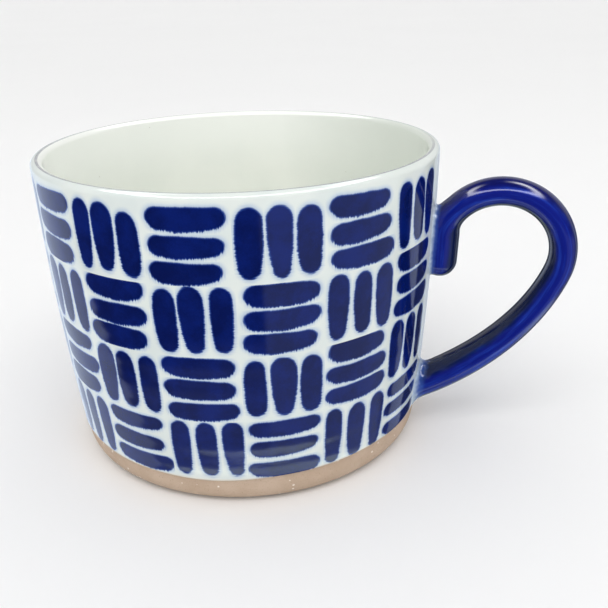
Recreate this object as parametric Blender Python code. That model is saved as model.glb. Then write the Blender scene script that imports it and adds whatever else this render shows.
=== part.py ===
"""Stoneware mug: a turned cup with a flat bare foot, and a strap handle luted on with slip.

Units are metres, +Z is up. The origin is the centre of the base, on the cup's axis,
and the handle points along +X. The clay, the slip and the three coats of glaze are
separate solids that keep a small clearance where they touch.
"""

import math

import bmesh
import bpy
from mathutils import Vector

# Cup, measured over the glaze
MUG_HEIGHT = 0.0761
RIM_RADIUS = 0.0500
HEEL_RADIUS = 0.0466
WALL_BELLY = 0.0007
HEEL_HEIGHT = 0.0095
BASE_RADIUS = 0.0392
HEEL_SQUARENESS = 3.4
LIP_THICKNESS = 0.0028
WALL_THICKNESS = 0.0042
FLOOR_THICKNESS = 0.0056
FLOOR_CORNER = 0.0100

# Coats and joints
GLAZE_THICKNESS = 0.00035
SLIP_THICKNESS = 0.0008
GLAZE_LINE = 0.0074
CLEARANCE = 0.0003

# Handle, measured over the glaze along the middle of the strap
STRAP_THICKNESS = 0.0066
STRAP_WIDTH = 0.0100
STRAP_SQUARENESS = 2.3
LOOP_RADIUS = 0.01485
LOOP_DROP = 0.0103
LOOP_START = math.radians(134.5)
LOOP_END = math.radians(-20)
TAIL_DEPTH = 0.0084
TAIL_PROUD = 0.0063
TAIL_HANG = 0.0255
BEND_INNER = 0.0060
ROOT_LIFT = 0.0003
ROOT_DEPTH = 0.0080
ROOT_WIDTH = 0.0106
ROOT_SLOPE = math.radians(27)
ROOT_EASE = 0.0170
ARM_EASE = 0.0150
ROOT_SINK = 0.0040

# Mesh fineness
TURN_STEPS = 64
HEEL_RINGS = 6
WALL_RINGS = 6
LIP_RINGS = 4
BORE_RINGS = 5
CORNER_RINGS = 6
STRAP_SIDES = 14
TAIL_RINGS = 4
TIP_RINGS = 4
TIP_TURN = math.radians(80)
BEND_RINGS = 6
LOOP_RINGS = 14
ARM_RINGS = 12
SMOOTH_ANGLE = math.radians(40)
CUTTER_MARGIN = 0.006

COAT = GLAZE_THICKNESS + CLEARANCE
LIP_RADIUS = LIP_THICKNESS / 2
LIP_HEIGHT = MUG_HEIGHT - LIP_RADIUS
LOOP_HEIGHT = MUG_HEIGHT - LOOP_DROP - LOOP_RADIUS
LOOP_TOP = MUG_HEIGHT - LOOP_DROP + STRAP_THICKNESS / 2
TAIL_TIP = LOOP_TOP - TAIL_HANG
ROOT_HEIGHT = GLAZE_LINE + ROOT_LIFT + ROOT_DEPTH / 2 / math.cos(ROOT_SLOPE)


def clear_scene():
    for thing in list(bpy.data.objects):
        bpy.data.objects.remove(thing, do_unlink=True)


def finish(name, colour, roughness, coat=0.0):
    """A plain material with a colour in linear RGB."""
    material = bpy.data.materials.new(name)
    material.use_nodes = True
    shader = material.node_tree.nodes["Principled BSDF"]
    shader.inputs["Base Color"].default_value = (*colour, 1.0)
    shader.inputs["Roughness"].default_value = roughness
    shader.inputs["Metallic"].default_value = 0.0
    shader.inputs["Coat Weight"].default_value = coat
    material.diffuse_color = (*colour, 1.0)
    return material


def add_object(name, mesh_maker, material=None):
    """A new object from a bmesh; without a material it is a hidden cutter."""
    mesh = bpy.data.meshes.new(name)
    bmesh.ops.recalc_face_normals(mesh_maker, faces=mesh_maker.faces)
    mesh_maker.to_mesh(mesh)
    mesh_maker.free()
    thing = bpy.data.objects.new(name, mesh)
    bpy.context.scene.collection.objects.link(thing)
    if material is None:
        thing.hide_render = True
        thing.display_type = "WIRE"
        return thing
    mesh.materials.append(material)
    mesh.shade_smooth()
    mesh.set_sharp_from_angle(angle=SMOOTH_ANGLE)
    return thing


def boolean(thing, operation, tool):
    """Adds an exact Boolean that stays on the object."""
    modifier = thing.modifiers.new(f"{operation.lower()} {tool.name}", "BOOLEAN")
    modifier.operation = operation
    modifier.solver = "EXACT"
    modifier.object = tool


# ---- the cup's outline, as (radius, height) ----


def wall_radius(height):
    """The glazed outside of the cup: a nearly straight flare on a rounded heel."""
    if height >= HEEL_HEIGHT:
        share = (height - HEEL_HEIGHT) / (LIP_HEIGHT - HEEL_HEIGHT)
        straight = HEEL_RADIUS + (RIM_RADIUS - HEEL_RADIUS) * share
        return straight + WALL_BELLY * 4 * share * (1 - share)
    depth = min(1.0, 1 - height / HEEL_HEIGHT)
    round_share = (1 - depth**HEEL_SQUARENESS) ** (1 / HEEL_SQUARENESS)
    return BASE_RADIUS + (HEEL_RADIUS - BASE_RADIUS) * round_share


def bore_radius(height):
    """The glazed inside of the wall, which thickens from the lip down."""
    share = (LIP_HEIGHT - height) / (LIP_HEIGHT - FLOOR_THICKNESS)
    return wall_radius(height) - LIP_THICKNESS - (WALL_THICKNESS - LIP_THICKNESS) * share


def steps(first, last, count):
    return [first + (last - first) * i / (count - 1) for i in range(count)]


def heel_outline(inset):
    """From the edge of the flat base up to the start of the wall."""
    turns = steps(0.0, math.pi / 2, HEEL_RINGS + 1)[:-1]
    heights = [HEEL_HEIGHT * (1 - math.cos(turn)) for turn in turns]
    return [(wall_radius(height) - inset, height) for height in heights]


def wall_outline(inset, lowest):
    """Up the wall to the lip, on the same rings wherever it starts, so that coats run parallel."""
    rings = steps(HEEL_HEIGHT, LIP_HEIGHT, WALL_RINGS)
    heights = [lowest] + [height for height in rings if height > lowest]
    return [(wall_radius(height) - inset, height) for height in heights]


def lip_outline(inset, first, last, count):
    """Part of the round lip, between two angles from the outward direction."""
    middle = RIM_RADIUS - LIP_RADIUS
    radius = LIP_RADIUS - inset
    return [
        (middle + radius * math.cos(turn), LIP_HEIGHT + radius * math.sin(turn))
        for turn in steps(first, last, count)
    ]


def bore_outline(inset):
    """Down the inside wall, round the corner and in to the middle of the floor."""
    corner_height = FLOOR_THICKNESS + FLOOR_CORNER
    corner_middle = bore_radius(corner_height) - FLOOR_CORNER
    wall = [(bore_radius(h) + inset, h) for h in steps(LIP_HEIGHT, corner_height, BORE_RINGS)]
    radius = FLOOR_CORNER + inset
    corner = [
        (corner_middle + radius * math.cos(turn), corner_height - radius * math.sin(turn))
        for turn in steps(0.0, math.pi / 2, CORNER_RINGS)
    ]
    return wall + corner[1:] + [(0.0, FLOOR_THICKNESS - inset)]


def turned(outline):
    """A closed bmesh turned about Z from a closed outline, with points on the axis kept single."""
    made = bmesh.new()
    rings = []
    for radius, height in outline:
        if radius == 0:
            rings.append([made.verts.new((0, 0, height))] * TURN_STEPS)
            continue
        angles = [math.tau * i / TURN_STEPS for i in range(TURN_STEPS)]
        rings.append([made.verts.new((radius * math.cos(a), radius * math.sin(a), height)) for a in angles])
    for lower, upper in zip(rings, rings[1:] + rings[:1]):
        for i in range(TURN_STEPS):
            j = (i + 1) % TURN_STEPS
            corners = list(dict.fromkeys((lower[i], lower[j], upper[j], upper[i])))
            if len(corners) > 2:
                made.faces.new(corners)
    return made


# ---- the handle's strap: a path in the XZ plane with a thickness and a width ----


def bezier(start, start_pull, end_pull, end, share):
    rest = 1 - share
    weights = (rest**3, 3 * rest**2 * share, 3 * rest * share**2, share**3)
    points = (start, start_pull, end_pull, end)
    return tuple(sum(w * p[axis] for w, p in zip(weights, points)) for axis in (0, 1))


def ease(share):
    return share * share * (3 - 2 * share)


def moved(point, direction, distance):
    return point[0] + direction[0] * distance, point[1] + direction[1] * distance


def tail_point(height):
    """The middle of the tail, which lies down the wall."""
    return wall_radius(height) + TAIL_PROUD - TAIL_DEPTH / 2, height


def loop_and_bend():
    """The middles of the loop and of the tighter bend inside it, which meet in one tangent."""
    reach = LOOP_RADIUS - STRAP_THICKNESS / 2 - BEND_INNER
    bend_height = LOOP_HEIGHT + reach * math.sin(LOOP_START)
    bend_middle = (wall_radius(bend_height) + TAIL_PROUD + BEND_INNER, bend_height)
    loop_middle = moved(bend_middle, (math.cos(LOOP_START), math.sin(LOOP_START)), -reach)
    return loop_middle, bend_middle


def strap_path():
    """(middle, thickness, width) from the top of the tail, over the loop, to the lower root."""
    path = []
    loop_middle, bend_middle = loop_and_bend()
    for height in steps(TAIL_TIP + TAIL_DEPTH / 2, bend_middle[1], TAIL_RINGS)[:-1]:
        path.append((tail_point(height), TAIL_DEPTH, STRAP_WIDTH))
    for share in steps(0, 1, BEND_RINGS)[:-1]:
        thickness = TAIL_DEPTH + (STRAP_THICKNESS - TAIL_DEPTH) * ease(share)
        turn = math.pi + (LOOP_START - math.pi) * share
        middle = moved(bend_middle, (math.cos(turn), math.sin(turn)), BEND_INNER + thickness / 2)
        path.append((middle, thickness, STRAP_WIDTH))
    for turn in steps(LOOP_START, LOOP_END, LOOP_RINGS)[:-1]:
        middle = moved(loop_middle, (math.cos(turn), math.sin(turn)), LOOP_RADIUS)
        path.append((middle, STRAP_THICKNESS, STRAP_WIDTH))
    start = moved(loop_middle, (math.cos(LOOP_END), math.sin(LOOP_END)), LOOP_RADIUS)
    root = (wall_radius(ROOT_HEIGHT), ROOT_HEIGHT)
    inward = (-math.cos(ROOT_SLOPE), -math.sin(ROOT_SLOPE))
    start_pull = moved(start, (math.sin(LOOP_END), -math.cos(LOOP_END)), ARM_EASE)
    end_pull = moved(root, inward, -ROOT_EASE)
    for share in steps(0, 1, ARM_RINGS):
        thickness = STRAP_THICKNESS + (ROOT_DEPTH - STRAP_THICKNESS) * ease(share)
        width = STRAP_WIDTH + (ROOT_WIDTH - STRAP_WIDTH) * ease(share)
        path.append((bezier(start, start_pull, end_pull, root, share), thickness, width))
    path.append((moved(root, inward, ROOT_SINK), ROOT_DEPTH, ROOT_WIDTH))
    return path


def strap_ring(made, middle, along, half_thickness, half_width):
    """One softly squared oval across the strap."""
    across = Vector((-along[1], 0, along[0]))
    centre = Vector((middle[0], 0, middle[1]))
    ring = []
    for i in range(STRAP_SIDES):
        turn = math.tau * i / STRAP_SIDES
        c, s = math.cos(turn), math.sin(turn)
        power = 2 / STRAP_SQUARENESS
        x = math.copysign(abs(c) ** power, c) * half_thickness
        y = math.copysign(abs(s) ** power, s) * half_width
        ring.append(made.verts.new(centre + across * x + Vector((0, y, 0))))
    return ring


def strap(inset, first=0, last=None):
    """The strap shrunk all round by inset, whole or between two rings of its path."""
    path = strap_path()
    middles = [item[0] for item in path]
    made = bmesh.new()
    rings = []
    stretch = range(len(path))[first:last]
    for i in stretch:
        before, after = middles[max(i - 1, 0)], middles[min(i + 1, len(path) - 1)]
        along = Vector((after[0] - before[0], after[1] - before[1])).normalized()
        half_thickness, half_width = path[i][1] / 2 - inset, path[i][2] / 2 - inset
        if i == 0:
            tip_length = TAIL_DEPTH / 2 - inset
            for turn in steps(TIP_TURN, 0, TIP_RINGS + 1)[:-1]:
                middle = moved(middles[0], along, -tip_length * math.sin(turn))
                shrink = math.cos(turn)
                rings.append(strap_ring(made, middle, along, half_thickness * shrink, half_width * shrink))
        rings.append(strap_ring(made, middles[i], along, half_thickness, half_width))
    for one, other in zip(rings, rings[1:]):
        for i in range(STRAP_SIDES):
            j = (i + 1) % STRAP_SIDES
            made.faces.new((one[i], one[j], other[j], other[i]))
    made.faces.new(rings[0])
    made.faces.new(rings[-1])
    return made


# ---- the pieces ----


def core(name, outset):
    """A hidden cutter that fills the cup out to a distance from its glazed wall."""
    walls = wall_outline(-outset, HEEL_HEIGHT)
    heel = heel_outline(-outset)
    outline = [(0, -CUTTER_MARGIN), (heel[0][0], -CUTTER_MARGIN), *heel, *walls]
    outline += [(walls[-1][0], MUG_HEIGHT + CUTTER_MARGIN), (0, MUG_HEIGHT + CUTTER_MARGIN)]
    return add_object(name, turned(outline))


def make_cup_body(material):
    outline = [(0.0, 0.0), *heel_outline(COAT), *wall_outline(COAT, HEEL_HEIGHT)[:-1]]
    outline += lip_outline(COAT, 0.0, math.pi, 2 * LIP_RINGS - 1)
    outline += bore_outline(COAT)[1:]
    return add_object("cup_body", turned(outline), material)


def make_outer_glaze(material, window):
    """The skin from the glaze line to the crest of the lip, with openings for the joints."""
    crest = math.pi / 2 - CLEARANCE / 2 / LIP_RADIUS
    shown = wall_outline(0, GLAZE_LINE)[:-1]
    shown += lip_outline(0, 0, crest, LIP_RINGS)
    hidden = wall_outline(GLAZE_THICKNESS, GLAZE_LINE)[:-1]
    hidden += lip_outline(GLAZE_THICKNESS, 0, crest, LIP_RINGS)
    glaze = add_object("outer_glaze", turned(shown + hidden[::-1]), material)
    boolean(glaze, "DIFFERENCE", window)
    return glaze


def make_liner_glaze(material):
    """The skin from the crest of the lip down the inside and over the floor."""
    crest = math.pi / 2 + CLEARANCE / 2 / LIP_RADIUS
    shown = lip_outline(0, crest, math.pi, LIP_RINGS) + bore_outline(0)[1:]
    hidden = lip_outline(GLAZE_THICKNESS, crest, math.pi, LIP_RINGS)
    hidden += bore_outline(GLAZE_THICKNESS)[1:]
    return add_object("liner_glaze", turned(shown + hidden[::-1]), material)


def make_handle(material, inner_core):
    handle = add_object("handle", strap(COAT), material)
    boolean(handle, "DIFFERENCE", inner_core)
    return handle


def make_handle_glaze(material, inside, glaze_core):
    """A sock of glaze round the strap, open where the strap meets the cup."""
    glaze = add_object("handle_glaze", strap(0), material)
    boolean(glaze, "DIFFERENCE", inside)
    boolean(glaze, "DIFFERENCE", glaze_core)
    return glaze


def make_slip(name, material, first, last, outer_core, clay_core):
    """The thin bed of slip that beds one end of the strap on the clay wall."""
    slip = add_object(name, strap(COAT, first, last), material)
    boolean(slip, "INTERSECT", outer_core)
    boolean(slip, "DIFFERENCE", clay_core)
    return slip


def build():
    clear_scene()
    clay = finish("bare stoneware", (0.46, 0.33, 0.24), 0.75)
    white = finish("white glaze", (0.77, 0.81, 0.79), 0.12, 0.4)
    liner = finish("liner glaze", (0.74, 0.76, 0.70), 0.12, 0.4)
    cobalt = finish("cobalt glaze", (0.012, 0.022, 0.26), 0.10, 0.5)
    slip = finish("luting slip", (0.50, 0.38, 0.29), 0.80)

    slip_outer = SLIP_THICKNESS - GLAZE_THICKNESS
    clay_core = core("cutter_clay", -GLAZE_THICKNESS)
    slip_core = core("cutter_slip", slip_outer)
    handle_core = core("cutter_handle", slip_outer + CLEARANCE)
    glaze_core = core("cutter_glaze", CLEARANCE)
    strap_inside = add_object("cutter_strap", strap(GLAZE_THICKNESS))

    make_cup_body(clay)
    make_outer_glaze(white, strap_inside)
    make_liner_glaze(liner)
    make_handle(clay, handle_core)
    make_handle_glaze(cobalt, strap_inside, glaze_core)
    loop_first = TAIL_RINGS + BEND_RINGS
    make_slip("upper_slip_joint", slip, 0, loop_first, slip_core, clay_core)
    make_slip("lower_slip_joint", slip, loop_first + LOOP_RINGS, None, slip_core, clay_core)


build()
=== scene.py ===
import math

import bpy
import numpy as np
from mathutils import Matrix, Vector


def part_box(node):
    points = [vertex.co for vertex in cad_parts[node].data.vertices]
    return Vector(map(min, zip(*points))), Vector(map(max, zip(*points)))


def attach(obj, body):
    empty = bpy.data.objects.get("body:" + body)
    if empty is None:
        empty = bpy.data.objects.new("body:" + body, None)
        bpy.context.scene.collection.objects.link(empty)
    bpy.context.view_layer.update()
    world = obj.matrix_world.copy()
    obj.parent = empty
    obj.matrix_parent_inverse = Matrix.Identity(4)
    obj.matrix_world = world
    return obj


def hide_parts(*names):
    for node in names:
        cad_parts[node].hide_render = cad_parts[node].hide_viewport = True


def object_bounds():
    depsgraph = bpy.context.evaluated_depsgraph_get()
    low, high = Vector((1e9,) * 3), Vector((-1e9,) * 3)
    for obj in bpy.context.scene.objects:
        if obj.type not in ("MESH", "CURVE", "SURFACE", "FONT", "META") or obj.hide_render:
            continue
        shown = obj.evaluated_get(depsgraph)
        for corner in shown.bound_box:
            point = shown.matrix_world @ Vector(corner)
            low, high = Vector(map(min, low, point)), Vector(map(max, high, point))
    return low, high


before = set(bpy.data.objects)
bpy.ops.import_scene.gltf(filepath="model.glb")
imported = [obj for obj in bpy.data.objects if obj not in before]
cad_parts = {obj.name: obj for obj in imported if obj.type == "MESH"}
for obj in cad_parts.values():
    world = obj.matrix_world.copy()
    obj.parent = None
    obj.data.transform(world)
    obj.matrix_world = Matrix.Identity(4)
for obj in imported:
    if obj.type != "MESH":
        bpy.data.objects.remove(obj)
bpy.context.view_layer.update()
mm = 0.001

# The cup's own outline. Its height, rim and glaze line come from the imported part.
cup = {
    "height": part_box("outer_glaze")[1].z,
    "rimRadius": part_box("outer_glaze")[1].y,
    "glazeLine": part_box("outer_glaze")[0].z,
    "heelRadius": 46.6 * mm,
    "wallBelly": 0.7 * mm,
    "heelHeight": 9.5 * mm,
    "baseRadius": 39.2 * mm,
    "heelSquareness": 3.4,
    "lipThickness": 2.8 * mm,
    "wallThickness": 4.2 * mm,
    "floorThickness": 5.6 * mm,
    "floorCorner": 10.0 * mm,
    "turns": 360,  # columns round every turned piece
    "unevenness": 0.10 * mm,  # how far the thrown wall strays from round
    "footFade": 6.0 * mm,  # below this the unevenness dies away
    "middleFade": 30.0 * mm,  # and inside this radius
}
cup["lipRadius"] = cup["lipThickness"] / 2
cup["lipHeight"] = cup["height"] - cup["lipRadius"]


def wallRadius(height):
    straight = cup["lipHeight"] - cup["heelHeight"]
    share = (np.minimum(height, cup["lipHeight"]) - cup["heelHeight"]) / straight
    flare = cup["heelRadius"] + (cup["rimRadius"] - cup["heelRadius"]) * share
    flare = flare + cup["wallBelly"] * 4 * share * (1 - share)
    depth = np.clip(1 - height / cup["heelHeight"], 0, 1)
    power = cup["heelSquareness"]
    bulge = (1 - depth**power) ** (1 / power)
    heel = cup["baseRadius"] + (cup["heelRadius"] - cup["baseRadius"]) * bulge
    heel = heel + (flare - cup["heelRadius"]) * (1 - depth) ** 2  # runs on from the wall smoothly
    return np.where(height >= cup["heelHeight"], flare, heel)


def boreRadius(height):
    share = (cup["lipHeight"] - height) / (cup["lipHeight"] - cup["floorThickness"])
    thickness = cup["lipThickness"] + (cup["wallThickness"] - cup["lipThickness"]) * share
    return wallRadius(height) - thickness


def unevenness(angle, height):  # slow waves left by the hand on the wheel
    waves = np.sin(2 * angle + 0.6) + 0.7 * np.sin(3 * angle + height * 60 + 1.9)
    rings = 0.12 * np.sin(height * 900 + 1.4 * np.sin(angle)) + 0.03 * np.sin(height * 2100 + angle)
    return cup["unevenness"] * (0.5 * waves + rings)


def heelOutline(inset, count):
    turns = np.linspace(0, math.pi / 2, count)[:-1]
    heights = cup["heelHeight"] * (1 - np.cos(turns))
    return [(float(wallRadius(h)) - inset, float(h)) for h in heights]


def wallOutline(inset, lowest, count):
    heights = np.linspace(lowest, cup["lipHeight"], count)
    return [(float(wallRadius(h)) - inset, float(h)) for h in heights]


def lipOutline(inset, first, last, count):
    middle = cup["rimRadius"] - cup["lipRadius"]
    radius = cup["lipRadius"] - inset
    turns = np.linspace(first, last, count)
    return [(middle + radius * math.cos(t), cup["lipHeight"] + radius * math.sin(t)) for t in turns]


def boreOutline(inset, wallCount, cornerCount, floorCount):
    corner = cup["floorThickness"] + cup["floorCorner"]
    middle = float(boreRadius(corner)) - cup["floorCorner"]
    radius = cup["floorCorner"] + inset
    heights = np.linspace(cup["lipHeight"], corner, wallCount)
    outline = [(float(boreRadius(h)) + inset, float(h)) for h in heights]
    for turn in np.linspace(0, math.pi / 2, cornerCount)[1:]:
        outline.append((middle + radius * math.cos(turn), corner - radius * math.sin(turn)))
    floor = cup["floorThickness"] - inset
    return outline + [(float(r), floor) for r in np.linspace(middle, 0, floorCount)[1:]]


def makeObject(name, points, faces, material):
    mesh = bpy.data.meshes.new(name)
    mesh.from_pydata([tuple(p) for p in points], [], faces)
    mesh.validate()
    mesh.shade_smooth()
    mesh.materials.append(material)
    thing = bpy.data.objects.new(name, mesh)
    bpy.context.scene.collection.objects.link(thing)
    return thing


def turnedObject(name, outline, material, shift=None):  # turns a closed outline of (radius, height)
    turns = cup["turns"]
    angles = np.arange(turns) * math.tau / turns
    points, rings = [], []
    for radius, height in outline:
        if radius < 1e-7:
            rings.append([len(points)] * turns)
            points.append((0, 0, height))
            continue
        heights = np.full(turns, height)
        radii = np.full(turns, radius)
        if shift:
            radii, heights = shift(angles, radii, heights)
        fade = np.clip(heights / cup["footFade"], 0, 1) * min(1, radius / cup["middleFade"])
        radii = radii + unevenness(angles, heights) * fade
        rings.append(range(len(points), len(points) + turns))
        points.extend(zip(radii * np.cos(angles), radii * np.sin(angles), heights))
    faces = []
    for lower, upper in zip(rings, rings[1:] + rings[:1]):
        for i in range(turns):
            j = (i + 1) % turns
            corners = list(dict.fromkeys((lower[i], lower[j], upper[j], upper[i])))
            if len(corners) > 2:
                faces.append(corners)
    return makeObject(name, points, faces, material)


def addNode(tree, kind, inputs=None, **settings):
    node = tree.nodes.new(kind)
    for key, value in settings.items():
        setattr(node, key, value)
    for key, value in (inputs or {}).items():
        feed(tree, node.inputs[key], value)
    return node


def feed(tree, socket, value):
    if isinstance(value, bpy.types.NodeSocket):
        tree.links.new(value, socket)
    else:
        socket.default_value = value


def calc(tree, operation, *values):
    node = tree.nodes.new("ShaderNodeMath")
    node.operation = operation
    for socket, value in zip(node.inputs, values):
        feed(tree, socket, value)
    return node.outputs[0]


def hold(tree, value, low, high):
    return calc(tree, "MINIMUM", calc(tree, "MAXIMUM", value, low), high)


def stray(tree, chance, spread, base):  # base, moved by up to half the spread either way
    return calc(tree, "MULTIPLY_ADD", calc(tree, "SUBTRACT", chance, 0.5), spread, base)


def ramp(tree, value, low, high, start=0.0, end=1.0, smooth=True):
    kind = "SMOOTHSTEP" if smooth else "LINEAR"
    node = addNode(tree, "ShaderNodeMapRange", interpolation_type=kind)
    names = ("Value", "From Min", "From Max", "To Min", "To Max")
    for name, number in zip(names, (value, low, high, start, end)):
        feed(tree, node.inputs[name], number)
    return node.outputs["Result"]


def blendColours(tree, share, first, second, mode="MIX"):
    node = addNode(tree, "ShaderNodeMix", data_type="RGBA", blend_type=mode)
    feed(tree, node.inputs["Factor"], share)
    feed(tree, node.inputs["A"], first)
    feed(tree, node.inputs["B"], second)
    return node.outputs["Result"]


def blendValues(tree, share, first, second):
    node = addNode(tree, "ShaderNodeMix", data_type="FLOAT")
    feed(tree, node.inputs["Factor"], share)
    feed(tree, node.inputs["A"], first)
    feed(tree, node.inputs["B"], second)
    return node.outputs["Result"]


def noise(tree, vector, scale, detail=2.0, roughness=0.5):
    inputs = {"Vector": vector, "Scale": scale, "Detail": detail, "Roughness": roughness}
    return addNode(tree, "ShaderNodeTexNoise", inputs).outputs["Fac"]


def spots(tree, vector, scale):  # scattered points, for specks and pinholes
    inputs = {"Vector": vector, "Scale": scale, "Randomness": 1.0}
    return addNode(tree, "ShaderNodeTexVoronoi", inputs).outputs


def whiteNoise(tree, vector):
    return addNode(tree, "ShaderNodeTexWhiteNoise", {"Vector": vector}, noise_dimensions="3D").outputs


def vectorMath(tree, operation, first, second):
    return addNode(tree, "ShaderNodeVectorMath", {0: first, 1: second}, operation=operation).outputs[0]


def splitPlace(tree, vector):
    return addNode(tree, "ShaderNodeSeparateXYZ", {0: vector}).outputs


def splitColour(tree, colour):
    return addNode(tree, "ShaderNodeSeparateColor", {0: colour}).outputs


def flatDistance(tree, spot):  # from the middle, by the first two of a point's three numbers
    squares = [calc(tree, "POWER", part, 2.0) for part in spot[:2]]
    return calc(tree, "SQRT", calc(tree, "ADD", *squares))


def attribute(tree, name, output):
    node = tree.nodes.new("ShaderNodeAttribute")
    node.attribute_name = name
    return node.outputs[output]


def newGroup(name, inputs, outputs):
    tree = bpy.data.node_groups.new(name, "ShaderNodeTree")
    for label, kind, default in inputs:
        socket = tree.interface.new_socket(name=label, in_out="INPUT", socket_type="NodeSocket" + kind)
        if default is not None:
            socket.default_value = default
    for label, kind in outputs:
        tree.interface.new_socket(name=label, in_out="OUTPUT", socket_type="NodeSocket" + kind)
    return tree, tree.nodes.new("NodeGroupInput").outputs, tree.nodes.new("NodeGroupOutput").inputs


def useGroup(tree, group, inputs=None):
    node = tree.nodes.new("ShaderNodeGroup")
    node.node_tree = group
    for key, value in (inputs or {}).items():
        feed(tree, node.inputs[key], value)
    return node.outputs


def srgb(red, green, blue):  # a colour as read on a screen, 0 to 255, as the linear one a shader takes
    shares = [c / 255 for c in (red, green, blue)]
    return (*[s / 12.92 if s <= 0.04045 else ((s + 0.055) / 1.055) ** 2.4 for s in shares], 1.0)


def newMaterial(name, **sockets):
    material = bpy.data.materials.new(name)
    material.use_nodes = True
    tree = material.node_tree
    shader = tree.nodes["Principled BSDF"]
    for key, value in sockets.items():
        shader.inputs[key].default_value = value
    return material, tree, shader.inputs


def objectPlace(tree):  # where the point is on the object, in millimetres
    place = tree.nodes.new("ShaderNodeTexCoord").outputs["Object"]
    return addNode(tree, "ShaderNodeVectorMath", {0: place, 3: 1 / mm}, operation="SCALE").outputs[0]


def addBump(tree, height):
    inputs = {"Height": height, "Distance": 1.0, "Strength": 1.0}
    return addNode(tree, "ShaderNodeBump", inputs).outputs["Normal"]


glazeLook = {
    "rippleScale": 0.16,  # waves per mm where the fired glaze settled
    "rippleHeight": 0.035 * mm,
    "skinScale": 1.1,  # the fine orange skin
    "skinHeight": 0.003 * mm,
    "cloudScale": 0.05,  # patches a little glossier or duller than the rest
    "roughness": 0.07,
    "roughnessSpread": 0.05,
}


def makeGlazeSkin():
    inputs = (("Place", "Vector", None), ("Ripple", "Float", 1.0))
    tree, take, give = newGroup("glazeSkin", inputs, (("Height", "Float"), ("Roughness", "Float")))
    waves = noise(tree, take["Place"], glazeLook["rippleScale"], 1.0)
    skin = noise(tree, take["Place"], glazeLook["skinScale"], 2.0)
    waves = calc(tree, "MULTIPLY", waves, glazeLook["rippleHeight"])
    waves = calc(tree, "MULTIPLY", waves, take["Ripple"])
    skin = calc(tree, "MULTIPLY", skin, glazeLook["skinHeight"])
    feed(tree, give["Height"], calc(tree, "ADD", waves, skin))
    cloud = noise(tree, take["Place"], glazeLook["cloudScale"], 3.0)
    spread = glazeLook["roughnessSpread"]
    rough = calc(tree, "MULTIPLY_ADD", cloud, spread, glazeLook["roughness"] - spread / 2)
    feed(tree, give["Roughness"], rough)
    return tree


cobaltLook = {
    "deep": srgb(3, 17, 76),
    "full": srgb(6, 27, 102),
    "thin": srgb(44, 72, 146),
    "cloudScale": 0.16,
    "grainScale": 2.6,
    "grainShare": 0.28,  # how much the fine grain shows in the clouds
    "shadeShare": 0.16,  # how much one brush stroke differs from the next
    "deepAt": 0.28,
    "fullAt": 0.76,
}


def makeCobaltDepth():  # cobalt oxide clouds under glaze: dark where it lies thick, bright where thin
    inputs = (("Place", "Vector", None), ("Thickness", "Float", 1.0), ("Shade", "Float", 0.5))
    tree, take, give = newGroup("cobaltDepth", inputs, (("Colour", "Color"),))
    cloud = noise(tree, take["Place"], cobaltLook["cloudScale"], 3.0, 0.6)
    grain = noise(tree, take["Place"], cobaltLook["grainScale"], 2.0, 0.6)
    mottle = stray(tree, grain, cobaltLook["grainShare"], cloud)
    mottle = stray(tree, take["Shade"], cobaltLook["shadeShare"], mottle)
    share = ramp(tree, mottle, cobaltLook["deepAt"], cobaltLook["fullAt"])
    body = blendColours(tree, share, cobaltLook["deep"], cobaltLook["full"])
    thin = calc(tree, "SUBTRACT", 1.0, take["Thickness"])
    feed(tree, give["Colour"], blendColours(tree, thin, body, cobaltLook["thin"]))
    return tree


clayLook = {
    "body": srgb(188, 165, 144),
    "dark": srgb(160, 136, 114),
    "pale": srgb(198, 176, 156),
    "speck": srgb(240, 232, 222),
    "iron": srgb(120, 92, 70),
    "cloudScale": 0.12,
    "sandScale": 3.2,
    "sandDark": 0.55,  # the most that the sand darkens the clay
    "speckScale": 0.6,  # specks per mm, before most are left out
    "speckChance": 0.4,  # the share left out
    "speckStrength": 0.85,
    "ironScale": 0.9,
    "ironSize": 0.11,
    "ironStrength": 0.4,
    "grainHeight": 0.045 * mm,
    "speckRise": 0.6,
    "roughness": 0.68,
    "roughnessSpread": 0.2,
}


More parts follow.
